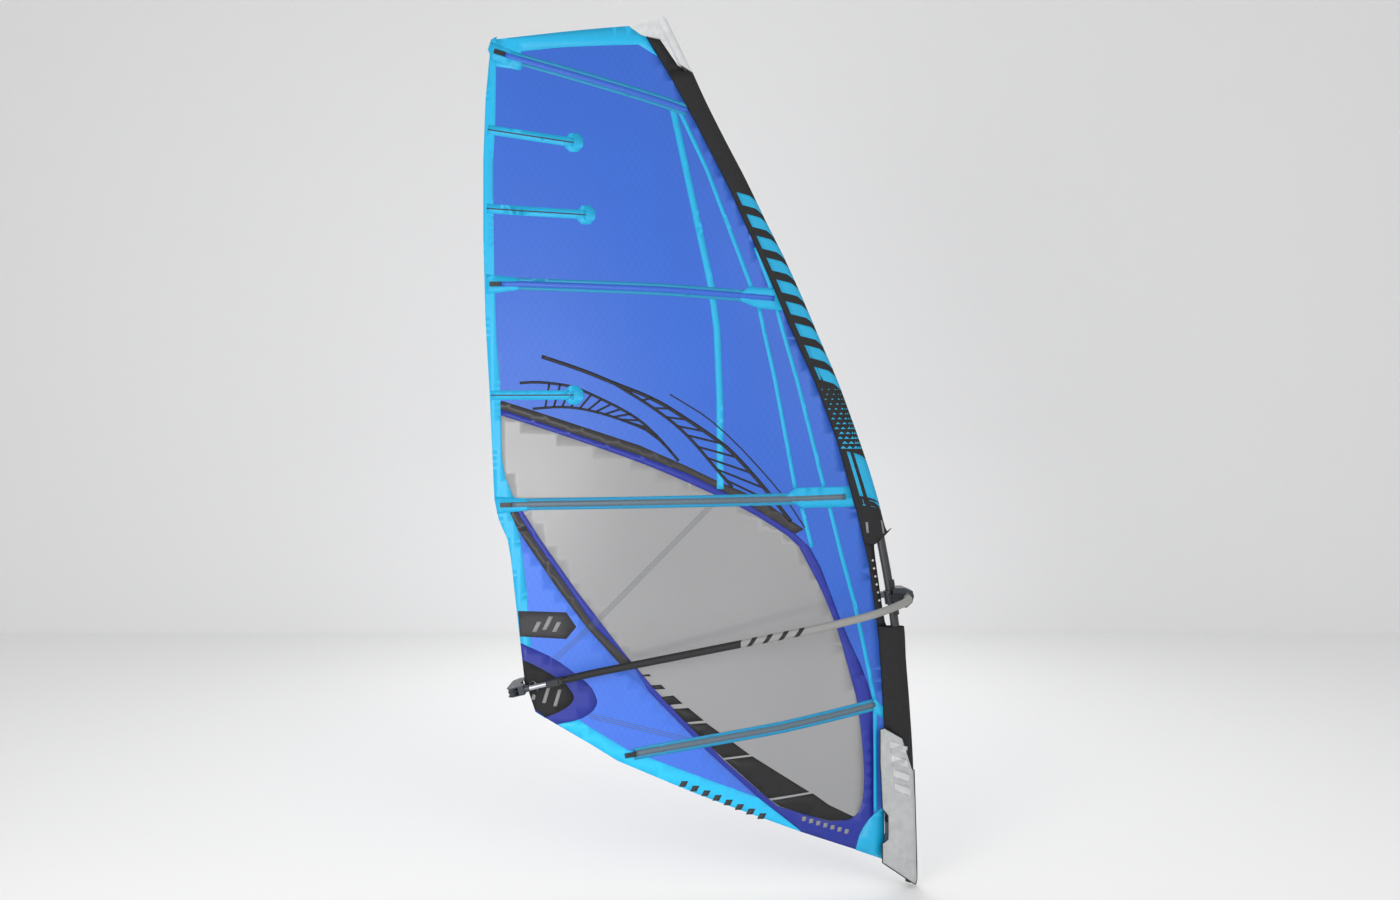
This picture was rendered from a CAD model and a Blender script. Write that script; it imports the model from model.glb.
import math

import bpy
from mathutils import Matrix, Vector
from mathutils.geometry import delaunay_2d_cdt


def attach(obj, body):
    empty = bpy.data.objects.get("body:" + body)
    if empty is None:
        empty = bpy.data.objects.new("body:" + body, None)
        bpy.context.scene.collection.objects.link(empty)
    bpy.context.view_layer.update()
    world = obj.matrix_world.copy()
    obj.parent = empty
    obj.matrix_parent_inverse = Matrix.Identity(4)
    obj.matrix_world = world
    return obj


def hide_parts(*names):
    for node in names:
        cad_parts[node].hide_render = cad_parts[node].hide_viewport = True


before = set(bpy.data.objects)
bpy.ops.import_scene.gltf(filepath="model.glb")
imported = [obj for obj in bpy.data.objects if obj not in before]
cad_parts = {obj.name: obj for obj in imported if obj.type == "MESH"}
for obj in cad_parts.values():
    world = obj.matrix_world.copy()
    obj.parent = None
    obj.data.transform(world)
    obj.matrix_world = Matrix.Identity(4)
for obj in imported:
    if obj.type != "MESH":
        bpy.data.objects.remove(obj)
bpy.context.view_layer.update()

# Windsurf sail rig. Lengths are millimetres until a mesh is made, and metres in the materials,
# lights and camera. +Z is up, the sail lies in the XZ plane and the leech is towards -X. The
# origin is the mast foot socket's centre.
MM = 0.001
MAST_LINE = [
    (-60, 0), (0, 0), (60, 0), (500, -12), (800, -30), (1125, -70), (1323, -100), (1494, -132),
    (1674, -168), (2124, -320), (2574, -504), (3024, -716), (3474, -943), (3816, -1107),
]
MAST_RADIUS = [(0, 19.5), (1350, 19.5), (2000, 18), (3816, 11)]
SEAM = [
    (60, -115), (650, -115), (740, -120), (1045, -140), (1165, -155), (1380, -185),
    (1585, -230), (1730, -270), (1945, -330), (2210, -430), (2440, -535), (2655, -625),
    (2880, -725), (3060, -805), (3355, -955), (3565, -1070), (3665, -1130), (3765, -1190),
    (3830, -1230),
]
LEECH = [
    (720, -1685), (765, -1700), (870, -1735), (1135, -1765), (1405, -1795), (1495, -1810),
    (1585, -1850), (1675, -1870), (2125, -1890), (2485, -1910), (2845, -1920), (3205, -1920),
    (3475, -1910), (3745, -1885),
]
CHORD_END = [(-100, -1690), (720, -1690), (1135, -1765), (1620, -1865), (2125, -1890),
             (3200, -1920), (3950, -1875)]
FOOT = [(-1685, 720), (-1590, 665), (-1440, 580), (-1315, 505), (-970, 365), (-495, 190), (-115, 55)]
HEAD = [(-1885, 3745), (-1265, 3805), (-1210, 3765)]
CAMBER = 48  # greatest depth of the sail's curve
CAMBER_TAIL = 1.6  # a larger one moves the deepest point towards the mast
CAMBER_LOW = -400  # the depth fades to nothing at this height and a span above it
CAMBER_SPAN = 4400
CAMBER_FULLNESS = 0.8
SLEEVE_FRONT = [
    (200, 22), (504, 13), (774, -4), (954, -18), (1107, -27), (1440, -82), (1584, -121),
    (1674, -144), (1854, -198), (2034, -261), (2214, -328), (2394, -405), (2574, -481),
    (2754, -562), (2934, -652), (3114, -738), (3294, -832), (3474, -922), (3654, -1003),
    (3830, -1085),
]
SLEEVE_ROOM = 3.0  # between the mast and the sleeve
GRID = 55  # spacing of the points inside a cloth
NARROW_GRID = 30  # the same for a narrow one
EDGE_STEP = 28  # and along the edges
SPLIT_Z = 1665  # height of the third batten, where the window is in two panes
STRIP_SHARE = 0.35  # an outline that fills less of its box than this is measured as a strip

# Half of each cloth's thickness. A thicker one stands proud of a thinner one on both sides.
HALF = {
    "body_film": 0.35, "window_pane_upper": 0.3, "window_pane_lower": 0.3,
    "window_border_cloth": 0.55, "window_band_cloth": 0.6, "clew_film": 0.5,
    "foot_strip_cloth": 0.7, "leech_tape_cloth": 0.75, "head_cloth": 0.7,
    "radial_tape_cloth": 0.8, "batten_patch_cloth": 1.3, "foot_tread_cloth": 1.0,
    "clew_ring_cloth": 0.9, "clew_inner_cloth": 1.2, "tack_patch_cloth": 0.9,
    "leech_badge_cloth": 1.2, "pocket_tapes": 1.1, "mini_batten_cloth": 1.1,
    "mini_batten_ridges": 2.2, "arc_print": 0.95, "foot_bars": 0.9, "corner_bars": 1.35,
    "load_yarns": 0.75, "sleeve_head_gore": 2.5, "cutout_strip_cloth": 1.2, "height_marks": 1.5,
}

LIGHT_BLUE = (0.006, 0.42, 0.73)
SAIL_BLUE = (0.028, 0.122, 0.56)
DARK_BLUE = (0.012, 0.026, 0.30)
TEAL = (0.008, 0.27, 0.50)
DARK_GREY = (0.03, 0.027, 0.028)
BLACK = (0.006, 0.006, 0.007)


def straight(table, height):
    """Value at a height on straight runs through a table's points."""
    i = 0
    while i < len(table) - 2 and height > table[i + 1][0]:
        i += 1
    (z0, x0), (z1, x1) = table[i], table[i + 1]
    return x0 + (x1 - x0) * (height - z0) / (z1 - z0)


def slope(table, i):
    """Slope of the smooth curve at one of its table's points."""
    low = max(i - 1, 0)
    high = min(i + 1, len(table) - 1)
    return (table[high][1] - table[low][1]) / (table[high][0] - table[low][0])


def smooth(table, height):
    """Value at a height on a smooth curve through a table's points."""
    i = 0
    while i < len(table) - 2 and height > table[i + 1][0]:
        i += 1
    (z0, x0), (z1, x1) = table[i], table[i + 1]
    step = z1 - z0
    t = (height - z0) / step
    start = (2 * t**3 - 3 * t**2 + 1) * x0 + (t**3 - 2 * t**2 + t) * step * slope(table, i)
    end = (3 * t**2 - 2 * t**3) * x1 + (t**3 - t**2) * step * slope(table, i + 1)
    return start + end


def camber(x, height):
    """Depth of the sail's curve at a point: it bulges towards -Y."""
    luff = smooth(SEAM, height)
    share = (luff - x) / (luff - smooth(CHORD_END, height))
    peak = 1 / (1 + CAMBER_TAIL)
    full = peak * (1 - peak) ** CAMBER_TAIL
    depth = CAMBER * math.sin(math.pi * (height - CAMBER_LOW) / CAMBER_SPAN) ** CAMBER_FULLNESS
    if share < 0:
        return -depth * share / full
    if share > 1:
        return 0.0
    return -depth * share * (1 - share) ** CAMBER_TAIL / full


# ---- outlines ----
def between(start, stop, t):
    """Point on the way from one point to another."""
    return tuple(a + (b - a) * t for a, b in zip(start, stop))


def within(corners, along, across):
    """Point of a four-sided patch, by its shares along the first side and across to the third."""
    low = between(corners[0], corners[1], along)
    high = between(corners[3], corners[2], along)
    return between(low, high, across)


def seam_run(low, high):
    inner = [(x, z) for z, x in SEAM if low < z < high]
    return [(straight(SEAM, low), low)] + inner + [(straight(SEAM, high), high)]


def leech_run(low, high):
    inner = [(x, z) for z, x in LEECH if low < z < high]
    return [(straight(LEECH, low), low)] + inner + [(straight(LEECH, high), high)]


def rounded(points, passes=2):
    """Corner-cut polyline, for curves given by a few points."""
    for _ in range(passes):
        out = [points[0]]
        for (ax, az), (bx, bz) in zip(points, points[1:]):
            out.append((ax * 0.75 + bx * 0.25, az * 0.75 + bz * 0.25))
            out.append((ax * 0.25 + bx * 0.75, az * 0.25 + bz * 0.75))
        points = out + [points[-1]]
    return points


def disc(x, z, radius, sides, turn=0.0):
    """Outline of a regular polygon; turn is a share of one side."""
    angles = [2 * math.pi * (k + turn) / sides for k in range(sides)]
    return [(x + radius * math.cos(a), z + radius * math.sin(a)) for a in angles]


def band(points, width):
    """Outline of a strip of one width along a polyline."""
    left = []
    right = []
    for i, (x, z) in enumerate(points):
        ax, az = points[max(i - 1, 0)]
        bx, bz = points[min(i + 1, len(points) - 1)]
        run = math.hypot(bx - ax, bz - az)
        side = (-(bz - az) / run * width / 2, (bx - ax) / run * width / 2)
        left.append((x + side[0], z + side[1]))
        right.append((x - side[0], z - side[1]))
    return left + right[::-1]


def shifted(points, across):
    """Polyline moved sideways."""
    outline = band(points, 2 * abs(across))
    half = len(points)
    return outline[:half] if across > 0 else outline[half:][::-1]


def part_of(points, start, stop):
    """Piece of a polyline between two distances from its first point."""
    out = []
    done = 0
    for (ax, az), (bx, bz) in zip(points, points[1:]):
        run = math.hypot(bx - ax, bz - az)
        low = max(start - done, 0)
        high = min(stop - done, run)
        if low < high:
            made = [(ax + (bx - ax) * t, az + (bz - az) * t) for t in (low / run, high / run)]
            out += made if not out else made[1:]
        done += run
    return out


def length_of(points):
    return sum(math.dist(a, b) for a, b in zip(points, points[1:]))


def perimeter(outline):
    return length_of(outline + outline[:1])


def inside(point, outline):
    x, z = point
    hit = False
    for (ax, az), (bx, bz) in zip(outline, outline[1:] + outline[:1]):
        if (az > z) != (bz > z) and x < (bx - ax) * (z - az) / (bz - az) + ax:
            hit = not hit
    return hit


def clipped(outline, height, side):
    """Part of an outline above (+1) or below (-1) a height."""
    out = []
    for (ax, az), (bx, bz) in zip(outline, outline[1:] + outline[:1]):
        if (az - height) * side >= 0:
            out.append((ax, az))
        if (az - height) * (bz - height) < 0:
            out.append((ax + (bx - ax) * (height - az) / (bz - az), height))
    return out


def divided(outline, step):
    """Outline with points added so that none is further from the next than a step."""
    out = []
    for a, b in zip(outline, outline[1:] + outline[:1]):
        count = max(1, math.ceil(math.dist(a, b) / step))
        out += [(a[0] + (b[0] - a[0]) * i / count, a[1] + (b[1] - a[1]) * i / count) for i in range(count)]
    return out


# ---- mesh makers ----
def new_object(name, verts, faces, material, flat=False):
    mesh = bpy.data.meshes.new(name)
    mesh.from_pydata([Vector(v) * MM for v in verts], [], faces)
    mesh.validate()
    mesh.update()
    piece = bpy.data.objects.new(name, mesh)
    bpy.context.scene.collection.objects.link(piece)
    piece.data.materials.append(material)
    for polygon in mesh.polygons:
        polygon.use_smooth = not flat
    return piece


def triangulated(outline, holes, step):
    """Points and triangles that fill an outline, less its holes."""
    loops = [divided(outline, EDGE_STEP)] + [divided(hole, EDGE_STEP) for hole in holes]
    points = []
    edges = []
    for loop in loops:
        first = len(points)
        points += loop
        edges += [(first + i, first + (i + 1) % len(loop)) for i in range(len(loop))]
    xs = [p[0] for p in outline]
    zs = [p[1] for p in outline]
    for i in range(int((max(xs) - min(xs)) / step) + 1):
        for j in range(int((max(zs) - min(zs)) / step) + 1):
            spot = (min(xs) + (i + 0.5) * step, min(zs) + (j + 0.5) * step)
            if inside(spot, outline) and not any(inside(spot, hole) for hole in holes):
                points.append(spot)
    made = delaunay_2d_cdt([Vector(p) for p in points], edges, [], 0, 1e-4)
    flat = [tuple(v) for v in made[0]]
    kept = []
    for tri in made[2]:
        middle = (sum(flat[i][0] for i in tri) / 3, sum(flat[i][1] for i in tri) / 3)
        if inside(middle, outline) and not any(inside(middle, hole) for hole in holes):
            kept.append(tuple(tri))
    return flat, kept


def cloth(name, outlines, material, replaces=(), holes=(), step=GRID):
    """Thin cloth on the sail's curve, built from one or more outlines, with both faces and its rim."""
    half = HALF[name]
    verts = []
    faces = []
    area = 0
    for outline in outlines:
        flat, tris = triangulated(outline, holes, step)
        first = len(verts)
        count = len(flat)
        verts += [(x, camber(x, z) - half, z) for x, z in flat]
        verts += [(x, camber(x, z) + half, z) for x, z in flat]
        rim = {}
        for a, b, c in tris:
            pa, pb, pc = flat[a], flat[b], flat[c]
            turn = (pb[0] - pa[0]) * (pc[1] - pa[1]) - (pb[1] - pa[1]) * (pc[0] - pa[0])
            area += abs(turn) / 2
            tri = (a, b, c) if turn > 0 else (a, c, b)
            faces.append(tuple(first + i for i in tri))
            faces.append(tuple(first + count + i for i in tri[::-1]))
            for edge in zip(tri, tri[1:] + tri[:1]):
                rim[edge] = True
        for a, b in rim:
            if (b, a) not in rim:
                faces.append((first + b, first + a, first + count + a, first + count + b))
    piece = new_object(name, verts, faces, material)
    mesh = piece.data
    for polygon in mesh.polygons:
        polygon.use_smooth = len(polygon.vertices) == 3
    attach(piece, "rig")
    if replaces:
        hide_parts(*replaces)
    declare_cut(outlines, area)
    return piece


def declare_cut(outlines, area):
    """Declare cloth cut from flat outlines, by their box or by the length of their strips.

    Prints and yarns, which are narrower than any strip of cloth, are not sheets.
    """
    points = [p for outline in outlines for p in outline]
    width = max(x for x, _ in points) - min(x for x, _ in points)
    length = max(z for _, z in points) - min(z for _, z in points)
    if len(outlines) > 1 or area < STRIP_SHARE * width * length:
        length = sum(perimeter(outline) for outline in outlines) / 2
        width = area / length


# ---- materials ----
MIX_COLORS = (6, 7)  # inputs of a colour mix
MIX_RESULT = 2
FILM_ROUGH = 0.42
FILM_GRID = (0.032, 0.054)
GRIP_BLACK_X = -0.77  # the boom grip is black behind this
GRIP_STRIPES_X = -0.50  # and striped behind this
STRIPE_PITCH = 0.056
STRIPE_LEAN = -12
STRIPE_SHARE = 0.34
GRIP_RIB = 0.0045
CARBON_WEAVE = 900
BRAID_WEAVE = 2600


class Nodes:
    """Short way to build a node material."""

    def __init__(self, name):
        self.material = bpy.data.materials.new(name)
        self.material.use_nodes = True
        self.tree = self.material.node_tree
        self.shader = self.tree.nodes["Principled BSDF"]
        self.place = self.add("ShaderNodeTexCoord").outputs["Object"]

    def add(self, kind, **settings):
        made = self.tree.nodes.new(kind)
        for key, value in settings.items():
            setattr(made, key, value)
        return made

    def link(self, source, target):
        self.tree.links.new(source, target)

    def math(self, kind, a, b=None):
        made = self.add("ShaderNodeMath", operation=kind)
        for i, value in enumerate((a, b)):
            if value is None:
                continue
            if isinstance(value, (int, float)):
                made.inputs[i].default_value = value
            else:
                self.link(value, made.inputs[i])
        return made.outputs[0]

    def noise(self, scale, detail=4.0, roughness=0.55):
        made = self.add("ShaderNodeTexNoise")
        made.inputs["Scale"].default_value = scale
        made.inputs["Detail"].default_value = detail
        made.inputs["Roughness"].default_value = roughness
        self.link(self.place, made.inputs["Vector"])
        return made.outputs["Fac"]

    def axes(self):
        made = self.add("ShaderNodeSeparateXYZ")
        self.link(self.place, made.inputs[0])
        return made.outputs["X"], made.outputs["Y"], made.outputs["Z"]

    def mix(self, share, low, high):
        made = self.add("ShaderNodeMix", data_type="RGBA")
        self.link(share, made.inputs[0])
        for i, value in zip(MIX_COLORS, (low, high)):
            if isinstance(value, tuple):
                made.inputs[i].default_value = (*value, 1)
            else:
                self.link(value, made.inputs[i])
        return made.outputs[MIX_RESULT]

    def span(self, value, low, high, start=0.0, stop=1.0):
        made = self.add("ShaderNodeMapRange")
        self.link(value, made.inputs["Value"])
        for key, number in (("From Min", low), ("From Max", high), ("To Min", start), ("To Max", stop)):
            made.inputs[key].default_value = number
        return made.outputs[0]

    def color(self, source):
        self.link(source, self.shader.inputs["Base Color"])

    def rough(self, value, low, high):
        self.link(self.span(value, 0, 1, low, high), self.shader.inputs["Roughness"])

    def bump(self, height, strength, distance=0.001):
        made = self.add("ShaderNodeBump")
        made.inputs["Strength"].default_value = strength
        made.inputs["Distance"].default_value = distance
        self.link(height, made.inputs["Height"])
        self.link(made.outputs[0], self.shader.inputs["Normal"])


def tones(base, shade, lift=0.0):
    """Darker and lighter tone of a colour."""
    return tuple(c * (1 - shade) for c in base), tuple(min(1, c * (1 + shade) + lift) for c in base)


def diamonds(nodes, width, height, line):
    """1 on the lines of a diamond grid and 0 between them."""
    x, _, z = nodes.axes()
    lines = []
    for way in (1, -1):
        across = nodes.math("ADD", nodes.math("DIVIDE", x, width), nodes.math("DIVIDE", z, way * height))
        saw = nodes.math("ABSOLUTE", nodes.math("SUBTRACT", nodes.math("FRACT", across), 0.5))
        lines.append(nodes.math("GREATER_THAN", saw, 0.5 - line))
    return nodes.math("MAXIMUM", *lines)


def ply(nodes, deep=0.7):
    """Small puckers and weave of laminated film."""
    fine = nodes.noise(900, 2)
    wide = nodes.noise(5, 3)
    return nodes.math("ADD", nodes.math("MULTIPLY", fine, 0.25), nodes.math("MULTIPLY", wide, deep))


def film(name, base, scrim, line=0.022):
    """Laminated sail film with a diamond scrim and a soft change of tone."""
    nodes = Nodes(name)
    dim, bright = tones(base, 0.10)
    tone = nodes.mix(nodes.noise(1.6, 2), dim, bright)
    net = diamonds(nodes, *FILM_GRID, line)
    nodes.color(nodes.mix(nodes.math("MULTIPLY", net, 0.45), tone, scrim))
    nodes.rough(nodes.noise(40), FILM_ROUGH - 0.06, FILM_ROUGH + 0.08)
    nodes.bump(nodes.math("ADD", ply(nodes), nodes.math("MULTIPLY", net, 0.35)), 0.25, 0.0012)
    return nodes.material


def woven(name, base, rough=0.7, thread=0.0016, strength=0.3):
    """Plain woven cloth with two sets of threads."""
    nodes = Nodes(name)
    x, _, z = nodes.axes()
    warp = nodes.math("SINE", nodes.math("MULTIPLY", x, 2 * math.pi / thread))
    weft = nodes.math("SINE", nodes.math("MULTIPLY", z, 2 * math.pi / thread))
    weave = nodes.math("MULTIPLY", warp, weft)
    dim, bright = tones(base, 0.22, 0.002)
    nodes.color(nodes.mix(nodes.span(weave, -1, 1), dim, nodes.mix(nodes.noise(3), base, bright)))
    nodes.rough(nodes.noise(60), rough - 0.08, rough + 0.08)
    nodes.bump(nodes.math("ADD", weave, nodes.noise(8)), strength, 0.0004)
    return nodes.material


def stitched(name, base, thread_color, pitch=0.006):
    """Tape with rows of zigzag stitching."""
    nodes = Nodes(name)
    x, _, z = nodes.axes()
    zig = nodes.math("PINGPONG", nodes.math("ADD", x, z), pitch)
    saw = nodes.math("PINGPONG", nodes.math("SUBTRACT", z, nodes.math("MULTIPLY", x, 0.4)), pitch * 1.3)
    mark = nodes.math("LESS_THAN", nodes.math("ABSOLUTE", nodes.math("SUBTRACT", zig, saw)), pitch * 0.13)
    tone = nodes.mix(nodes.noise(6), tuple(c * 0.9 for c in base), tuple(min(1, c * 1.08) for c in base))
    nodes.color(nodes.mix(nodes.math("MULTIPLY", mark, 0.55), tone, thread_color))
    nodes.rough(nodes.noise(50), 0.42, 0.6)
    nodes.bump(nodes.math("ADD", nodes.math("MULTIPLY", mark, 0.8), ply(nodes, 0.3)), 0.3, 0.0006)
    return nodes.material


def window_film():
    """Clear film, slightly smoky, with faint waves."""
    nodes = Nodes("window_film")
    nodes.color(nodes.mix(nodes.noise(1.2, 2), (0.30, 0.30, 0.305), (0.37, 0.37, 0.375)))
    nodes.rough(nodes.noise(4), 0.16, 0.30)
    nodes.bump(nodes.noise(3.5, 2), 0.10, 0.004)
    clear = nodes.span(nodes.noise(1.0, 2), 0, 1, 0.80, 0.90)
    nodes.link(clear, nodes.shader.inputs["Alpha"])
    return nodes.material


def plastic(name, base, rough=0.45, grain=900, strength=0.12, metal=0.0):
    """Moulded plastic or anodised metal with a fine grain and light wear."""
    nodes = Nodes(name)
    worn = nodes.span(nodes.noise(22, 6, 0.7), 0.35, 0.75)
    dim, bright = tones(base, 0.12, 0.004)
    nodes.color(nodes.mix(worn, dim, bright))
    nodes.rough(nodes.noise(70), rough - 0.09, rough + 0.1)
    nodes.bump(nodes.math("ADD", nodes.noise(grain, 2), nodes.noise(30)), strength, 0.0003)
    nodes.shader.inputs["Metallic"].default_value = metal
    return nodes.material


def carbon():
    """Satin woven carbon of the mast."""
    nodes = Nodes("mast_carbon")
    _, y, z = nodes.axes()
    turn = nodes.math("MULTIPLY", y, CARBON_WEAVE)
    one = nodes.math("SINE", nodes.math("ADD", turn, nodes.math("MULTIPLY", z, CARBON_WEAVE)))
    two = nodes.math("SINE", nodes.math("SUBTRACT", turn, nodes.math("MULTIPLY", z, CARBON_WEAVE)))
    weave = nodes.math("MULTIPLY", one, two)
    nodes.color(nodes.mix(nodes.span(weave, -1, 1), (0.012, 0.012, 0.014), (0.045, 0.045, 0.05)))
    nodes.rough(nodes.span(weave, -1, 1), 0.28, 0.42)
    nodes.bump(nodes.math("ADD", weave, nodes.noise(300)), 0.1, 0.0003)
    return nodes.material


def grip_foam():
    """Boom grip: grey to the middle with black slanted stripes, then black."""
    nodes = Nodes("grip_foam")
    x, _, z = nodes.axes()
    grain = nodes.noise(700, 3)
    black = nodes.math("LESS_THAN", x, GRIP_BLACK_X)
    pitch = nodes.math("MULTIPLY", x, 1 / STRIPE_PITCH)
    skew = nodes.math("ADD", pitch, nodes.math("MULTIPLY", z, STRIPE_LEAN))
    wave = nodes.math("LESS_THAN", nodes.math("FRACT", skew), STRIPE_SHARE)
    zone = nodes.math("MULTIPLY", nodes.math("LESS_THAN", x, GRIP_STRIPES_X), wave)
    dark = nodes.math("MAXIMUM", black, zone)
    light = nodes.mix(grain, (0.22, 0.22, 0.21), (0.34, 0.34, 0.325))
    nodes.color(nodes.mix(dark, light, (0.010, 0.010, 0.011)))
    nodes.rough(grain, 0.55, 0.8)
    rib = nodes.math("SINE", nodes.math("MULTIPLY", x, 2 * math.pi / GRIP_RIB))
    nodes.bump(nodes.math("ADD", grain, nodes.math("MULTIPLY", rib, 0.35)), 0.3, 0.0006)
    return nodes.material


def braided():
    """Dark braided line."""
    nodes = Nodes("line_fibre")
    x, y, z = nodes.axes()
    rise = nodes.math("ADD", nodes.math("ADD", x, y), z)
    one = nodes.math("SINE", nodes.math("MULTIPLY", rise, BRAID_WEAVE))
    fall = nodes.math("SUBTRACT", z, nodes.math("ADD", x, y))
    two = nodes.math("SINE", nodes.math("MULTIPLY", fall, BRAID_WEAVE))
    weave = nodes.math("MULTIPLY", one, two)
    nodes.color(nodes.mix(nodes.span(weave, -1, 1), (0.010, 0.010, 0.012), (0.06, 0.06, 0.065)))
    nodes.rough(nodes.span(weave, -1, 1), 0.6, 0.8)
    nodes.bump(weave, 0.4, 0.0005)
    return nodes.material


MATERIAL = {
    "body": film("sail_film_blue", SAIL_BLUE, (0.016, 0.075, 0.36)),
    "clew": film("sail_film_clew", (0.05, 0.17, 0.74), (0.025, 0.10, 0.46)),
    "light": film("sail_light_blue", LIGHT_BLUE, (0.004, 0.32, 0.60), line=0.012),
    "foot_light": film("foot_light_blue", (0.012, 0.54, 0.93), (0.006, 0.42, 0.8), line=0.012),
    "border": film("dark_blue_cloth", DARK_BLUE, (0.008, 0.018, 0.2)),
    "grey_band": film("dark_grey_cloth", DARK_GREY, (0.05, 0.05, 0.05)),
    "window": window_film(),
    "tape": stitched("radial_tape", LIGHT_BLUE, (0.004, 0.2, 0.42)),
    "pocket": stitched("pocket_tape", TEAL, (0.004, 0.12, 0.25), 0.0045),
    "black": woven("black_cloth", BLACK),
    "tread": woven("tread_cloth", BLACK, 0.55, 0.003),
    "mark": woven("mark_cloth", (0.28, 0.28, 0.285), 0.55),
    "dark_mark": woven("dark_mark_cloth", (0.035, 0.035, 0.04), 0.6),
    "sleeve": woven("sleeve_cloth", BLACK, 0.75, 0.0022),
    "sleeve_blue": woven("sleeve_light_blue", (0.006, 0.36, 0.62), 0.65),
    "print": woven("printed_black", (0.004, 0.005, 0.012), 0.5),
    "thread": woven("yarn", (0.10, 0.12, 0.14), 0.6, 0.0008),
    "webbing": woven("webbing", BLACK, 0.8, 0.0035, strength=0.6),
    "cap": plastic("cap_plastic", (0.62, 0.63, 0.64), 0.38),
    "fairing": plastic("fairing_foam", (0.44, 0.45, 0.455), 0.5, 500, 0.3),
    "pad": plastic("fairing_pad", (0.55, 0.56, 0.565), 0.42, 600, 0.25),
    "edge": plastic("black_binding", (0.012, 0.012, 0.013), 0.6),
    "hard": plastic("black_plastic", (0.014, 0.015, 0.018), 0.42),
    "housing": plastic("housing_plastic", (0.030, 0.038, 0.050), 0.36),
    "roller": plastic("roller_plastic", (0.022, 0.028, 0.04), 0.38),
    "sheave": plastic("sheave_plastic", (0.6, 0.6, 0.6), 0.4),
    "tube": plastic("aluminium", (0.5, 0.51, 0.53), 0.28, metal=1.0),
    "arm": plastic("arm_tube", (0.03, 0.03, 0.034), 0.3, metal=0.8),
    "steel": plastic("steel", (0.62, 0.62, 0.63), 0.22, metal=1.0),
    "red": plastic("button_plastic", (0.55, 0.02, 0.015), 0.35),
    "batten": plastic("batten_composite", (0.32, 0.32, 0.30), 0.5),
    "hood": film("pocket_film", (0.10, 0.15, 0.19), (0.06, 0.09, 0.12)),
    "carbon": carbon(),
    "grip": grip_foam(),
    "line": braided(),
}
NODE_MATERIAL = {
    "carbon": ["mast_bottom", "mast_top", "mast_ferrule"],
    "hard": ["mast_tip_plug", "base_cup", "extension_collar", "pulley_block", "tack_hook", "clamp_jaw",
             "clamp_lever", "tail_collars", "tail_clip_left", "tail_clip_right", "tensioner_housings",
             "clamp_liner"],
    "housing": ["head_housing", "tail_end_fitting"],
    "roller": ["tail_roller_left", "tail_roller_right"],
    "sheave": ["base_sheave_1", "base_sheave_2", "tack_sheave_1", "tack_sheave_2"],
    "tube": ["extension_tube", "tail_extension"],
    "arm": ["boom_arms"],
    "grip": ["boom_grips"],
    "steel": ["pulley_axles", "roller_axles", "clamp_hinge_pin", "clew_ring", "tension_screw_1",
              "tension_screw_2", "tension_screw_3", "tension_screw_4"],
    "red": ["release_button_left", "release_button_right"],
    "batten": ["battens"],
    "webbing": ["tack_strap"],
    "line": ["downhaul_line", "outhaul_line"],
    "cap": ["head_cap"],
    "fairing": ["tack_fairing"],
}


def finish_cad_nodes():
    """Give each CAD node that stays its material."""
    for key, names in NODE_MATERIAL.items():
        for name in names:
            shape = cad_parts[name]
            shape.data.materials.clear()
            shape.data.materials.append(MATERIAL[key])


# ---- sail ----
LEECH_LOW, LEECH_HIGH = LEECH[0][0], LEECH[-1][0]
SEAM_LOW, SEAM_HIGH = 62, 3758
LEECH_TAPE_INNER = [
    (-1860, 3760), (-1865, 3385), (-1875, 3205), (-1875, 3025), (-1870, 2665), (-1860, 2395),
    (-1845, 2215), (-1840, 1970), (-1835, 1855), (-1820, 1775), (-1785, 1690), (-1800, 1620),
    (-1760, 1530), (-1740, 1405), (-1725, 1270), (-1705, 1020), (-1690, 950), (-1640, 692),
]
HEAD_LINE = [
    (-1900, 3700), (-1865, 3625), (-1750, 3605), (-1750, 3690), (-1575, 3705), (-1220, 3720),
    (-1137, 3670),
]
WINDOW_TOP = [
    (-1840, 2055), (-1665, 2000), (-1485, 1940), (-1215, 1845), (-1045, 1775), (-880, 1700),
    (-765, 1645), (-665, 1590), (-515, 1490), (-470, 1405), (-400, 1270), (-365, 1185),
    (-330, 1100), (-265, 865), (-240, 775), (-225, 665), (-210, 500), (-208, 400), (-215, 320),
    (-235, 265), (-280, 240), (-365, 235),
]
WINDOW_BACK = [
    (-495, 275), (-595, 305), (-640, 340), (-845, 520), (-990, 670), (-1140, 820), (-1280, 985),
    (-1500, 1270), (-1660, 1495), (-1785, 1690), (-1820, 1775), (-1835, 1855), (-1840, 1970),
]
GREY_TOP = [
    (-1885, 2105), (-1835, 2120), (-1690, 2075), (-1215, 1920), (-1010, 1830), (-865, 1760),
    (-735, 1705), (-630, 1650), (-540, 1585), (-480, 1545),
]
BLUE_TOP = [
    (-1885, 2090), (-1835, 2080), (-1215, 1875), (-990, 1790), (-735, 1660), (-520, 1525),
    (-455, 1465), (-405, 1375), (-365, 1270), (-320, 1150), (-275, 1045), (-225, 940),
    (-190, 845), (-170, 775), (-165, 505), (-165, 275),
]
LOW_BLUE_LEFT = [
    (-1770, 1625), (-1690, 1495), (-1530, 1270), (-1420, 1110), (-1255, 950), (-1175, 820),
    (-920, 560), (-685, 345), (-495, 195),
]
LOW_GREY_LEFT = [(-1815, 1620), (-1735, 1495), (-1580, 1270), (-1450, 1100), (-1295, 930)]
FOOT_STRIP_TOP = [
    (-1590, 668), (-1490, 688), (-1440, 655), (-1270, 555), (-1170, 520), (-685, 345), (-495, 195),
]
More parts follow.
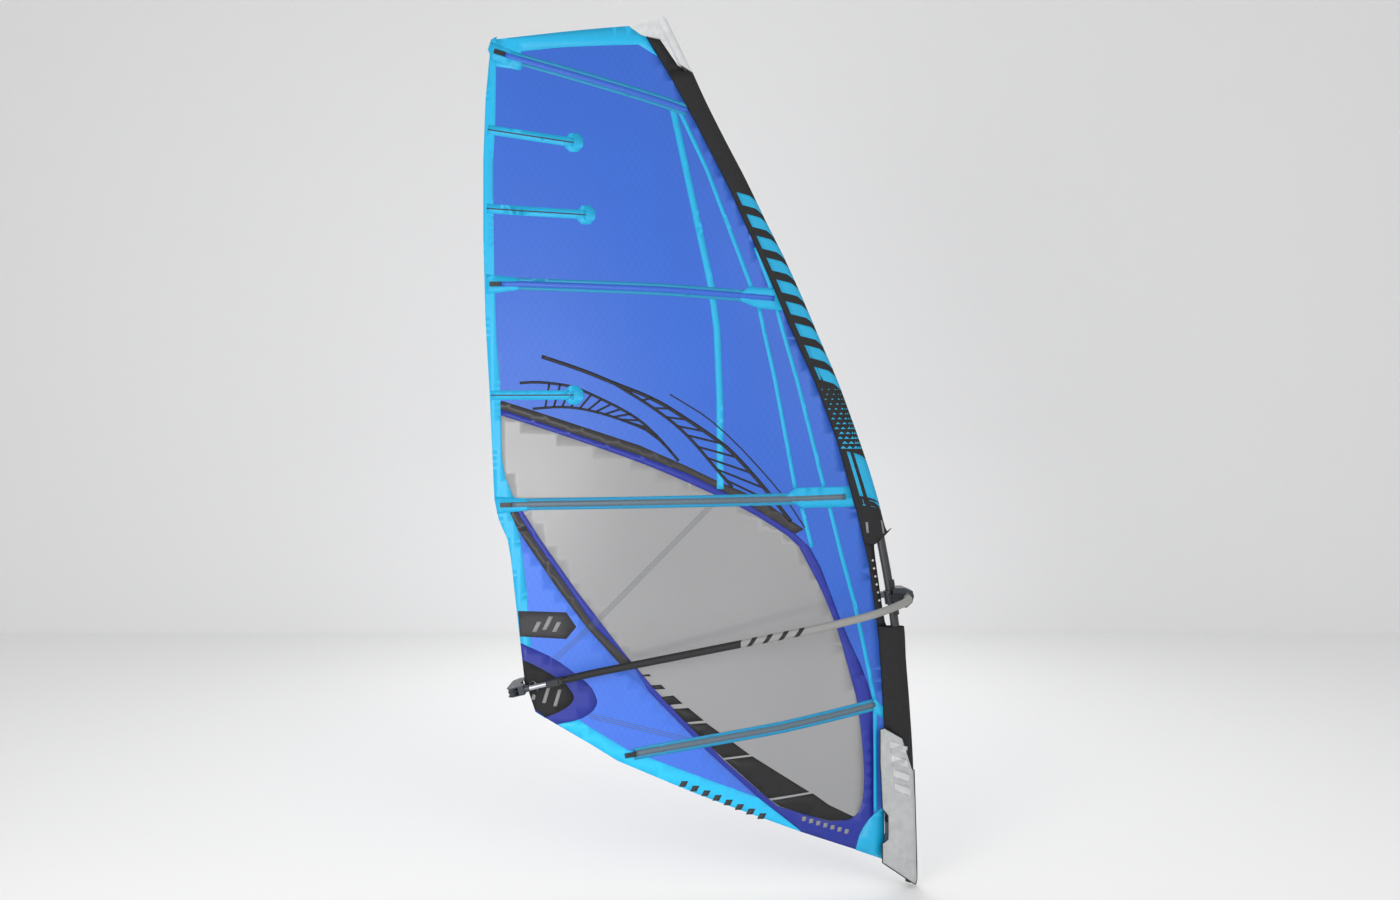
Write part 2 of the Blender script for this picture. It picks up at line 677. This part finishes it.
CLEW_RING_PATCH = [
    (-1750, 1030), (-1705, 1010), (-1595, 960), (-1505, 895), (-1435, 840), (-1410, 790),
    (-1405, 760), (-1430, 720), (-1490, 685), (-1590, 665),
]
CLEW_PATCH = [
    (-1745, 955), (-1685, 930), (-1595, 880), (-1550, 850), (-1515, 805), (-1510, 780),
    (-1535, 745), (-1590, 715), (-1640, 697),
]
LEECH_BADGE = [(-1764, 1175), (-1545, 1170), (-1500, 1105), (-1545, 1050), (-1755, 1060)]
TACK_PATCH = [(-117, 295), (-180, 250), (-225, 185), (-247, 104), (-117, 57)]
BATTENS = [
    [(-1872, 3693), (-1740, 3650), (-1090, 3455), (-1000, 3425)],
    [(-1893, 2645), (-1755, 2645), (-1125, 2615), (-765, 2590), (-610, 2580)],
    [(-1845, 1651), (-1720, 1655), (-1215, 1665), (-565, 1680), (-290, 1689)],
    [(-1283, 528), (-1125, 560), (-585, 660), (-160, 755)],
]
MINI_BATTENS = [
    [(-1900, 3341), (-1510, 3275)],
    [(-1905, 2986), (-1455, 2950)],
    [(-1885, 2145), (-1510, 2145)],
]
RADIAL_TAPES = [
    ([(-1075, 3470), (-985, 3050), (-895, 2630), (-870, 2440), (-857, 2125), (-855, 1725)], 30),
    ([(-1050, 3450), (-915, 3160), (-715, 2630)], 18),
    ([(-695, 2810), (-625, 2625)], 18),
    ([(-680, 2535), (-660, 2440), (-610, 2215), (-520, 1730)], 18),
    ([(-600, 2535), (-575, 2440), (-510, 2215), (-390, 1735)], 18),
    ([(-490, 1640), (-445, 1465)], 18),
    ([(-365, 1645), (-305, 1405), (-255, 1225), (-215, 1045), (-160, 775)], 18),
    ([(-157, 780), (-155, 275)], 18),
]
BATTEN_PATCHES = [
    [(-1884, 3735), (-1745, 3675), (-1745, 3610), (-1892, 3655)],
    [(-1908, 2690), (-1760, 2672), (-1760, 2618), (-1908, 2600)],
    [(-1866, 1690), (-1715, 1680), (-1715, 1628), (-1858, 1612)],
    [(-765, 2600), (-725, 2630), (-610, 2625), (-570, 2525), (-685, 2535), (-765, 2565)],
    [(-565, 1690), (-520, 1730), (-275, 1735), (-250, 1645), (-490, 1640)],
    [(-165, 790), (-122, 745), (-122, 690), (-165, 725)],
]
TREADS = [
    [(-1206, 893), (-1173, 897), (-1164, 887), (-1197, 886)],
    [(-1165, 846), (-1120, 850), (-1099, 831), (-1146, 828)],
    [(-1119, 795), (-1064, 802), (-1022, 766), (-1084, 759)],
    [(-1066, 741), (-997, 747), (-928, 691), (-1010, 682)],
    [(-1001, 673), (-917, 680), (-846, 629), (-723, 539), (-843, 523), (-940, 615)],
    [(-834, 515), (-711, 531), (-495, 394), (-455, 369), (-639, 340)],
    [(-625, 331), (-440, 362), (-369, 310), (-255, 253), (-282, 240), (-365, 237), (-495, 274), (-590, 306)],
]


def build_sail():
    window = rounded(WINDOW_TOP, 1) + WINDOW_BACK
    leech = leech_run(LEECH_LOW, LEECH_HIGH)
    sail = leech + HEAD[1:] + seam_run(SEAM_LOW, SEAM_HIGH)[::-1] + FOOT[::-1][1:]
    cloth("body_film", [sail], MATERIAL["body"], ["body_panel"], [window])
    cloth("window_pane_upper", [clipped(window, SPLIT_Z, 1)], MATERIAL["window"], ["window_panels"])
    pane_low = cloth("window_pane_lower", [clipped(window, SPLIT_Z, -1)], MATERIAL["window"])
    border = BLUE_TOP + [(-165, 80), (-250, 107), (-495, 190)] + LOW_BLUE_LEFT[::-1]
    cloth("window_border_cloth", [border], MATERIAL["border"], ["window_border"], [window])
    bands = [GREY_TOP + BLUE_TOP[5::-1], LOW_GREY_LEFT + LOW_BLUE_LEFT[4::-1]]
    cloth("window_band_cloth", bands, MATERIAL["grey_band"], ["window_band"], [window])
    clew = leech_run(LEECH_LOW, 1600) + [(-1815, 1620)] + LOW_GREY_LEFT
    clew += [(-1175, 820), (-495, 195)] + FOOT[5:0:-1]
    cloth("clew_film", [clew], MATERIAL["clew"], ["clew_panel"], [border])
    strip = FOOT_STRIP_TOP + [(-495, 190), (-970, 365), (-1315, 505), (-1440, 580)]
    cloth("foot_strip_cloth", [strip], MATERIAL["foot_light"], ["foot_strip"])
    tape = leech + LEECH_TAPE_INNER
    cloth("leech_tape_cloth", [tape], MATERIAL["light"], ["leech_tape"], step=NARROW_GRID)
    head = HEAD_LINE[::-1] + HEAD + [(-1189, SEAM_HIGH)]
    cloth("head_cloth", [head], MATERIAL["light"], ["head_panel"])


def build_reinforcements():
    tapes = [band(points, width) for points, width in RADIAL_TAPES]
    cloth("radial_tape_cloth", tapes, MATERIAL["tape"], ["radial_tapes"])
    cloth("batten_patch_cloth", BATTEN_PATCHES, MATERIAL["tape"], ["batten_patches"])
    cloth("foot_tread_cloth", TREADS, MATERIAL["tread"], ["foot_treads"])
    ring = rounded(CLEW_RING_PATCH, 1) + leech_run(722, 1030)
    cloth("clew_ring_cloth", [ring], MATERIAL["border"], ["clew_patches"])
    inner = rounded(CLEW_PATCH, 1) + leech_run(735, 955)
    clew_inner = cloth("clew_inner_cloth", [inner], MATERIAL["black"])
    tack = rounded(TACK_PATCH[:4], 1) + [TACK_PATCH[4]]
    cloth("tack_patch_cloth", [tack], MATERIAL["light"], ["corner_patches"])
    badge = cloth("leech_badge_cloth", [LEECH_BADGE], MATERIAL["dark_mark"])


# ---- pockets ----
# Section of a batten's hood, as (across, proud) from one edge to the other.
HOOD = [(-13, 1.2), (-9, 1.5), (-7.4, 4.6), (-5, 5.7), (0, 5.9), (5, 5.7), (7.4, 4.6), (9, 1.5), (13, 1.2)]
HOOD_CLOTH = 0.5
HOOD_ROWS = 40
PAST_END = 1e-6  # takes the last row to the very end of the path
HOODS_ON_BODY = 2  # the upper hoods have the body's colour
HOOD_START = 52  # from the batten's leech end
POCKET_START = 40
POCKET_TAPE = 17
POCKET_OFFSET = 18  # from the batten to the middle of each tape
MINI_WIDTH = 42
MINI_END = 46  # radius of the patch at a mini batten's inner end
MINI_SIDES = 8
MINI_CORE = 5


def hood(name, path, material):
    """Raised cloth over one batten, on the sail's front."""
    whole = length_of(path)
    rows = [part_of(path, 0, whole * (k + PAST_END) / HOOD_ROWS)[-1] for k in range(1, HOOD_ROWS + 1)]
    rows = [path[0]] + rows
    verts = []
    for i, (x, z) in enumerate(rows):
        ax, az = rows[max(i - 1, 0)]
        bx, bz = rows[min(i + 1, len(rows) - 1)]
        run = math.hypot(bx - ax, bz - az)
        side = (-(bz - az) / run, (bx - ax) / run)
        for inner in (0, HOOD_CLOTH):
            for across, proud in HOOD:
                px, pz = x + side[0] * across, z + side[1] * across
                verts.append((px, camber(px, pz) - proud + inner, pz))
    wide = len(HOOD)
    faces = []
    for i in range(len(rows) - 1):
        for j in range(wide - 1):
            a = 2 * wide * i + j
            b = a + 2 * wide
            faces.append((a, b, b + 1, a + 1))
            faces.append((a + wide, a + wide + 1, b + wide + 1, b + wide))
        for j, way in ((0, 1), (wide - 1, -1)):
            a = 2 * wide * i + j
            b = a + 2 * wide
            quad = (a, a + wide, b + wide, b)
            faces.append(quad[::way])
    for base, way in ((0, 1), (2 * wide * (len(rows) - 1), -1)):
        for j in range(wide - 1):
            quad = (base + j, base + j + 1, base + j + 1 + wide, base + j + wide)
            faces.append(quad[::way])
    piece = new_object(name, verts, faces, material)
    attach(piece, "rig")


def build_pockets():
    """Each full batten lies between two stitched tapes, under a raised hood."""
    strips = []
    for path in BATTENS:
        run = part_of(path, POCKET_START, length_of(path))
        strips += [band(shifted(run, side * POCKET_OFFSET), POCKET_TAPE) for side in (-1, 1)]
    cloth("pocket_tapes", strips, MATERIAL["pocket"], ["batten_pockets"])
    for i, path in enumerate(BATTENS):
        material = MATERIAL["body" if i < HOODS_ON_BODY else "hood"]
        hood(f"batten_hood_{i + 1}", part_of(path, HOOD_START, length_of(path)), material)
    minis = [band(path, MINI_WIDTH) for path in MINI_BATTENS]
    minis += [disc(*path[1], MINI_END, MINI_SIDES, 0.5) for path in MINI_BATTENS]
    cloth("mini_batten_cloth", minis, MATERIAL["tape"], ["mini_battens"])
    cores = [band(path, MINI_CORE) for path in MINI_BATTENS]
    ridges = cloth("mini_batten_ridges", cores, MATERIAL["dark_mark"])


# ---- generic graphics ----
ARC_UPPER = [
    (-1655, 2318), (-1467, 2255), (-1332, 2198), (-1148, 2127), (-1008, 2039), (-868, 1944),
    (-801, 1890), (-664, 1739), (-540, 1580),
]
ARC_LOWER = [(-1332, 2198), (-1152, 2088), (-1008, 1976), (-868, 1809), (-801, 1733)]
ARC_SECOND = [
    (-1755, 2200), (-1670, 2205), (-1539, 2189), (-1467, 2166), (-1237, 2054), (-1125, 1951),
    (-1040, 1850),
]
ARC_INNER = [(-1696, 2084), (-1552, 2095), (-1410, 2072), (-1237, 2014), (-1134, 1962)]
ARC_FINE = [(-1080, 2147), (-864, 2016), (-580, 1710), (-477, 1552)]
ARCS = [(ARC_UPPER, 17), (ARC_LOWER, 13), (ARC_SECOND, 12), (ARC_INNER, 11), (ARC_FINE, 6)]
# Rungs join two arcs, as (from, to, spaces between them).
RUNGS = [(ARC_UPPER[2:], ARC_LOWER, 11), (ARC_SECOND[1:], ARC_INNER, 15)]
RUNG_WIDTH = 9
RUNG_LEAN = 0.03
# Rows of slanted blocks, as (count, first corner, step, size, lean).
FOOT_BARS = (8, (-1040, 392), (50, -20.5), (30, 26), 0.5)
TACK_BARS = (7, (-490, 238), (32, -10), (18, 20), 0.2)
CLEW_BARS = (3, (-1705, 775), (50, -14), (16, 75), 0.3)
# Single blocks, as (x, z, width, height, lean).
LEECH_BARS = [(-1700, 1082, 20, 45, 0.5), (-1655, 1090, 20, 61, 0.5), (-1610, 1082, 20, 45, 0.5)]
YARNS = [[(-1595, 962), (-1454, 1088), (-1390, 1148), (-878, 1670)], [(-1440, 706), (-990, 603)]]
YARN_OFFSETS = (-9, 0.1, 9)
YARN_WIDTH = 2.2


def bar(x, z, width, height, lean):
    """Slanted block outline."""
    shift = height * lean
    return [(x, z), (x + width, z), (x + width + shift, z + height), (x + shift, z + height)]


def bar_row(count, corner, step, size, lean):
    return [bar(corner[0] + step[0] * k, corner[1] + step[1] * k, *size, lean) for k in range(count)]


def build_marks():
    """Generic graphics: arcs with rungs, plain bars and the yarn lines at the clew."""
    lines = [band(rounded(points), width) for points, width in ARCS]
    for start, stop, count in RUNGS:
        for k in range(1, count):
            share = k / count
            a = part_of(start, 0, length_of(start) * share)[-1]
            b = part_of(stop, 0, length_of(stop) * min(1, share + RUNG_LEAN))[-1]
            lines.append(band([a, b], RUNG_WIDTH))
    arcs = cloth("arc_print", lines, MATERIAL["print"])
    bars = cloth("foot_bars", bar_row(*FOOT_BARS), MATERIAL["dark_mark"])
    marks = bar_row(*TACK_BARS) + [bar(*block) for block in LEECH_BARS] + bar_row(*CLEW_BARS)
    pale = cloth("corner_bars", marks, MATERIAL["mark"])
    yarn = [band(shifted(path, across), YARN_WIDTH) for across in YARN_OFFSETS for path in YARNS]
    threads = cloth("load_yarns", yarn, MATERIAL["thread"])


# ---- sleeve ----
SIDE_POINTS = 9  # of a ring, from the seam to the mast's middle
ARC_PARTS = 28
NOSE = SIDE_POINTS + ARC_PARTS // 2  # the foremost point's index in a ring
SEAM_HALF = 2
SIDE_FULLNESS = 0.9
SLEEVE_ROWS = 60
SKIN_BACK = 0.9  # the inner skin is set back by this
SKIN_SHARE = 0.955  # and narrowed to this
PATCH_CELLS = 6
PRINT_THICKNESS = 0.0005
UPPER_LOW, UPPER_HIGH = 1445, 3600
LOWER_LOW, LOWER_HIGH = 340, 1107
MOUTH_X, MOUTH_Z = -160, 1475  # the upper sleeve's lower edge is level behind this point
MOUTH_RISE = 0.96
GORE_HEIGHTS = (UPPER_HIGH, 3640, 3665, 3700, SEAM_HIGH)
GORE_FRONT = [(-1125, 3748), (-1045, 3632), (-1000, 3604)]
CUTOUT_HIGH = 1480
CUTOUT_FRONT = [(-160, 1475), (-160, 1455), (-155, 1410), (-125, 1200), (-112, 1125), (-104, LOWER_HIGH)]
MARK_COUNT = 6
MARK_START, MARK_STEP = (-167, 1402), (6, -36)
SQUARE, ROUND = (6.5, 4), (5, 12)  # radius and sides
# Patches on the sleeve are lists of (height, share) corners.
LADDER_COUNT = 9
LADDER_START, LADDER_STEP = 2215, 98
LADDER_LEAN, LADDER_HEIGHT = 55, 58
LADDER_REAR, LADDER_FRONT = 0.12, 0.93
BANDS = [
    [(1700, 0.02), (1655, 0.95), (1850, 0.95), (1900, 0.02)],
    [(1655, 0.02), (1625, 0.98), (1650, 0.98), (1685, 0.02)],
]
STRIPE = [(1662, 0.02), (1630, 0.7), (1646, 0.7), (1690, 0.02)]
STRIPE_PROUD = 1.1
DOT_ROWS, DOT_COLUMNS = 13, 6
DOT_START, DOT_STEP = 1905, 22
DOT_SIZE, DOT_SHRINK = 12, 0.72
DOT_REAR, DOT_GAP, DOT_SHIFT, DOT_TIP = 0.09, 0.145, 0.07, 0.01  # in shares
DOT_GIRTH = 160  # turns half a block's width into a share
TAG = [(1528, 0.10), (1525, 0.62), (1585, 0.66), (1575, 0.12)]
TAG_PROUD = 2.4
TAG_THICKNESS = 1.4


def sleeve_ring(height, proud=0.0):
    """Points round the sleeve from the seam, along -Y, over the nose, and back along +Y."""
    rear = straight(SEAM, height)
    nose = smooth(SLEEVE_FRONT, height) + proud
    middle = smooth(MAST_LINE, height)
    half = straight(MAST_RADIUS, height) + SLEEVE_ROOM + proud
    reach = nose - middle
    side = []
    for k in range(SIDE_POINTS):
        t = k / SIDE_POINTS
        rise = math.sin(math.pi / 2 * t) ** SIDE_FULLNESS
        side.append((rear + (middle - rear) * t, -SEAM_HALF - (half - SEAM_HALF) * rise))
    angles = [math.pi * k / ARC_PARTS for k in range(ARC_PARTS + 1)]
    arc = [(middle + reach * math.sin(a), -half * math.cos(a)) for a in angles]
    back = [(x, -y) for x, y in side[::-1]]
    return [(x, y, height) for x, y in side + arc + back]


def sleeve_piece(name, low, high, replaces, foot=None):
    """Sleeve skin between two heights; foot trims the lower edge as a function of x."""
    rings = [sleeve_ring(low + (high - low) * i / SLEEVE_ROWS) for i in range(SLEEVE_ROWS + 1)]
    count = len(rings[0])
    inner = [[(x - SKIN_BACK, y * SKIN_SHARE, z) for x, y, z in ring] for ring in rings]
    verts = [p for ring in rings for p in ring] + [p for ring in inner for p in ring]
    total = len(rings) * count
    faces = []
    for i in range(len(rings) - 1):
        for j in range(count):
            a = i * count + j
            b = i * count + (j + 1) % count
            faces.append((a, b, b + count, a + count))
            faces.append((total + b, total + a, total + a + count, total + b + count))
    for base in (0, (len(rings) - 1) * count):
        for j in range(count):
            a = base + j
            b = base + (j + 1) % count
            quad = (a, b, total + b, total + a)
            faces.append(quad[::-1] if base == 0 else quad)
    if foot:
        verts = [(x, y, max(z, foot(x))) for x, y, z in verts]
    piece = new_object(name, verts, faces, MATERIAL["sleeve"])
    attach(piece, "rig")
    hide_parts(*replaces)


def on_sleeve(height, share, proud):
    """Point on the sleeve's near side: share 0 at the seam and 1 at the nose."""
    ring = sleeve_ring(height, proud)
    place = share * NOSE
    i = min(int(place), NOSE - 1)
    return between(ring[i], ring[i + 1], place - i)


def sleeve_patch(corners, proud, side):
    """Points and faces of a four-sided patch of the sleeve, on its near (1) or far (-1) side."""
    points = []
    for i in range(PATCH_CELLS + 1):
        for j in range(PATCH_CELLS + 1):
            height, share = within(corners, j / PATCH_CELLS, i / PATCH_CELLS)
            x, y, z = on_sleeve(height, share, proud)
            points.append((x, y * side, z))
    quads = []
    for i in range(PATCH_CELLS):
        for j in range(PATCH_CELLS):
            a = i * (PATCH_CELLS + 1) + j
            quad = (a, a + 1, a + PATCH_CELLS + 2, a + PATCH_CELLS + 1)
            quads.append(quad if side > 0 else quad[::-1])
    return points, quads


def sleeve_print(name, patches, material, proud=0.7):
    verts = []
    faces = []
    for corners in patches:
        for side in (1, -1):
            points, quads = sleeve_patch(corners, proud, side)
            first = len(verts)
            verts += points
            faces += [tuple(first + i for i in quad) for quad in quads]
    piece = new_object(name, verts, faces, material)
    thick = piece.modifiers.new("thickness", "SOLIDIFY")
    thick.thickness = PRINT_THICKNESS
    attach(piece, "rig")


def mouth(x):
    """Height of the upper sleeve's lower edge."""
    return MOUTH_Z + max(x - MOUTH_X, 0) * MOUTH_RISE


def block_patches():
    """A ladder of slanted blocks, two bands, and rows of blocks that shrink upwards."""
    blocks = []
    for k in range(LADDER_COUNT):
        low = LADDER_START + LADDER_STEP * k
        front = low - LADDER_LEAN
        top = [(front + LADDER_HEIGHT, LADDER_FRONT), (low + LADDER_HEIGHT, LADDER_REAR)]
        blocks.append([(low, LADDER_REAR), (front, LADDER_FRONT)] + top)
    blocks += BANDS
    for row in range(DOT_ROWS):
        for column in range(DOT_COLUMNS):
            size = DOT_SIZE - row * DOT_SHRINK
            low = DOT_START + row * DOT_STEP
            share = DOT_REAR + DOT_GAP * column + DOT_SHIFT * (row % 2)
            half = size / DOT_GIRTH
            top = [(low + size, share + DOT_TIP), (low + size, share)]
            blocks.append([(low, share - half), (low, share + half)] + top)
    return blocks


def build_sleeves():
    sleeve_piece("sleeve_upper_cloth", UPPER_LOW, UPPER_HIGH, ["luff_sleeve_upper"], mouth)
    sleeve_piece("sleeve_lower_cloth", LOWER_LOW, LOWER_HIGH, ["luff_sleeve_lower"])
    top = [(straight(SEAM, z), z) for z in GORE_HEIGHTS]
    gore = cloth("sleeve_head_gore", [top + GORE_FRONT], MATERIAL["sleeve"])
    strip = seam_run(LOWER_HIGH, CUTOUT_HIGH) + CUTOUT_FRONT
    cutout = cloth("cutout_strip_cloth", [strip], MATERIAL["sleeve"])
    dots = []
    for k in range(MARK_COUNT):
        size, sides = SQUARE if k % 2 else ROUND
        dots.append(disc(MARK_START[0] + MARK_STEP[0] * k, MARK_START[1] + MARK_STEP[1] * k, size, sides))
    marks = cloth("height_marks", dots, MATERIAL["cap"])
    sleeve_print("sleeve_blocks", block_patches(), MATERIAL["sleeve_blue"])
    sleeve_print("sleeve_stripe", [STRIPE], MATERIAL["sleeve"], STRIPE_PROUD)
    tag = [on_sleeve(height, share, TAG_PROUD) for height, share in TAG]
    verts = tag + [(x, y - TAG_THICKNESS, z) for x, y, z in tag]
    quads = [(3, 2, 1, 0), (4, 5, 6, 7), (0, 1, 5, 4), (1, 2, 6, 5), (2, 3, 7, 6), (3, 0, 4, 7)]
    piece = new_object("sleeve_pull_tag", verts, quads, MATERIAL["mark"])
    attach(piece, "rig")


# ---- fairing trim ----
FAIRING = [
    (-140, 650), (-120, 655), (-40, 610), (5, 470), (15, 465), (30, -25), (20, -45), (-130, 55),
    (-130, 140), (-105, 160), (-105, 265), (-130, 295), (-140, 500),
]
FAIRING_STEP_Z = 470
FAIRING_RADIUS = 30
FAIRING_RADIUS_HIGH = 28  # above the step
FAIRING_NOSE = 0.985  # no point lies further forward than this share of the radius
BINDING_STEP = 18
BINDING_PROUD = 0.4
BINDING_RADIUS = 0.0024
PADS = [(-54, 560), (-47, 497), (-40, 434), (-33, 371)]
PAD_CORNERS = [(-46, 8), (34, -22), (38, 12), (-42, 42)]
PAD_CELLS = 12
PAD_PROUD = 5.5
PAD_SUNK = 1.2
PAD_THICKNESS = 0.0012


def on_fairing(x, z, side, proud):
    """Point on the fairing's U-shaped skin."""
    radius = (FAIRING_RADIUS if z < FAIRING_STEP_Z else FAIRING_RADIUS_HIGH) + proud
    reach = min(max(x - smooth(MAST_LINE, z), 0), radius * FAIRING_NOSE)
    return (x, side * math.sqrt(radius**2 - reach**2), z)


def build_fairing_trim():
    for side, name in ((-1, "left"), (1, "right")):
        outline = divided(FAIRING, BINDING_STEP)
        route = [on_fairing(x, z, side, BINDING_PROUD) for x, z in outline]
        data = bpy.data.curves.new(f"fairing_binding_{name}", "CURVE")
        data.dimensions = "3D"
        data.bevel_depth = BINDING_RADIUS
        data.bevel_resolution = 3
        spline = data.splines.new("POLY")
        spline.points.add(len(route) - 1)
        for point, place in zip(spline.points, route):
            point.co = (*(Vector(place) * MM), 1)
        spline.use_cyclic_u = True
        piece = bpy.data.objects.new(f"fairing_binding_{name}", data)
        bpy.context.scene.collection.objects.link(piece)
        data.materials.append(MATERIAL["edge"])
        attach(piece, "rig")
    for k, (x, z) in enumerate(PADS):
        pad(f"fairing_pad_{k + 1}", [(x + dx, z + dz) for dx, dz in PAD_CORNERS])


def pad(name, corners):
    """Moulded pad: crowned in the middle and rounded down to the skin at its edges."""
    verts = []
    faces = []
    for i in range(PAD_CELLS + 1):
        for j in range(PAD_CELLS + 1):
            u, v = i / PAD_CELLS, j / PAD_CELLS
            x, z = within(corners, u, v)
            rise = (1 - (2 * u - 1) ** 8) * (1 - (2 * v - 1) ** 6)
            verts.append(on_fairing(x, z, -1, PAD_PROUD * rise**0.5 - PAD_SUNK))
    wide = PAD_CELLS + 1
    for i in range(PAD_CELLS):
        for j in range(PAD_CELLS):
            a = i * wide + j
            faces.append((a, a + wide, a + wide + 1, a + 1))
    piece = new_object(name, verts, faces, MATERIAL["pad"])
    thick = piece.modifiers.new("thickness", "SOLIDIFY")
    thick.thickness = PAD_THICKNESS
    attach(piece, "rig")


# ---- stage ----
FLOOR_Z = -60
FLOOR_REACH = 9000
WALL_REACH, WALL_Y, WALL_TOP = 12000, 6000, 9000
PAPER = 0.93
CAMERA_PLACE = (-0.945, -4.35, 1.899)
CAMERA_LENS = 24.86
CAMERA_SENSOR = 36
WORLD_LIGHT = 0.62
# Round lamps, as (name, place, aim, diameter, power).
LAMPS = [
    ("key", (-4.2, -4.6, 1.6), (-0.9, 0, 1.7), 3.2, 150),
    ("fill", (3.0, -5.0, 4.0), (-0.9, 0, 1.8), 4.0, 85),
    ("back", (-1.0, 4.5, 4.5), (-0.9, 0, 1.8), 4.0, 110),
]


def plain(name, tone):
    """Matt paper of one grey."""
    nodes = Nodes(name)
    nodes.color(nodes.mix(nodes.noise(2), (tone, tone, tone), (tone * 1.01,) * 3))
    nodes.rough(nodes.noise(3), 0.85, 0.95)
    return nodes.material


def add_stage():
    edge = FLOOR_REACH
    verts = [(-edge, -edge, FLOOR_Z), (edge, -edge, FLOOR_Z), (edge, edge, FLOOR_Z), (-edge, edge, FLOOR_Z)]
    floor = new_object("floor", verts, [(0, 1, 2, 3)], plain("floor", PAPER), True)
    ends = (-WALL_REACH, WALL_REACH)
    wall_verts = [(x, WALL_Y, FLOOR_Z) for x in ends] + [(x, WALL_Y, WALL_TOP) for x in ends[::-1]]
    wall = new_object("backdrop", wall_verts, [(3, 2, 1, 0)], plain("backdrop", PAPER), True)


def add_light(name, place, aim, size, power):
    data = bpy.data.lights.new(name, "AREA")
    data.shape = "DISK"
    data.size = size
    data.energy = power
    lamp = bpy.data.objects.new(name, data)
    lamp.location = place
    lamp.rotation_euler = (Vector(aim) - Vector(place)).to_track_quat("-Z", "Y").to_euler()
    bpy.context.scene.collection.objects.link(lamp)


def add_camera_and_light():
    data = bpy.data.cameras.new("camera")
    data.lens = CAMERA_LENS
    data.sensor_width = CAMERA_SENSOR
    data.dof.use_dof = False
    camera = bpy.data.objects.new("camera", data)
    camera.location = CAMERA_PLACE
    camera.rotation_euler = (math.pi / 2, 0, 0)
    bpy.context.scene.collection.objects.link(camera)
    bpy.context.scene.camera = camera
    for lamp in LAMPS:
        add_light(*lamp)
    world = bpy.data.worlds.new("world")
    world.use_nodes = True
    background = world.node_tree.nodes["Background"]
    background.inputs["Color"].default_value = (1, 1, 1, 1)
    background.inputs["Strength"].default_value = WORLD_LIGHT
    bpy.context.scene.world = world
    bpy.context.scene.view_settings.view_transform = "Standard"


build_sail()
build_reinforcements()
build_pockets()
build_marks()
build_sleeves()
finish_cad_nodes()
build_fairing_trim()
add_stage()
add_camera_and_light()
